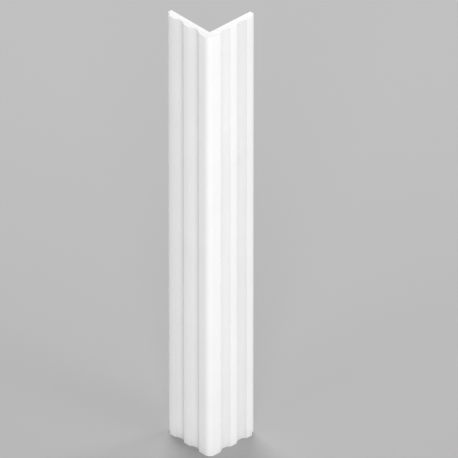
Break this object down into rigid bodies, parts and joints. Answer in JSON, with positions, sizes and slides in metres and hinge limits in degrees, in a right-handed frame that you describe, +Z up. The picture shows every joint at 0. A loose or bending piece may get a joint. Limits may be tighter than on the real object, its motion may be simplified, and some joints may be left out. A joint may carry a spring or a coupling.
{
  "type": "corner moulding",
  "caption": "Straight L-shaped moulding with fluted legs and a rounded nose, made to cap the outside corner of a wall.",
  "frame": {"origin": "foot of the inner corner: the point of the bottom end that stands on the arris of the two walls", "axes": "+Z up along the moulding; one leg lies along +X with its flat back facing +Y, the other along +Y with its flat back facing +X; the rounded nose points to -X -Y"},
  "size_m": [0.0642, 0.0642, 0.5],
  "materials": {
    "white_primer": "nearly matt white factory primer on dense, fine-celled hard foam"
  },
  "bodies": {
    "root": {"corner_moulding": "white_primer"}
  },
  "joints": []
}
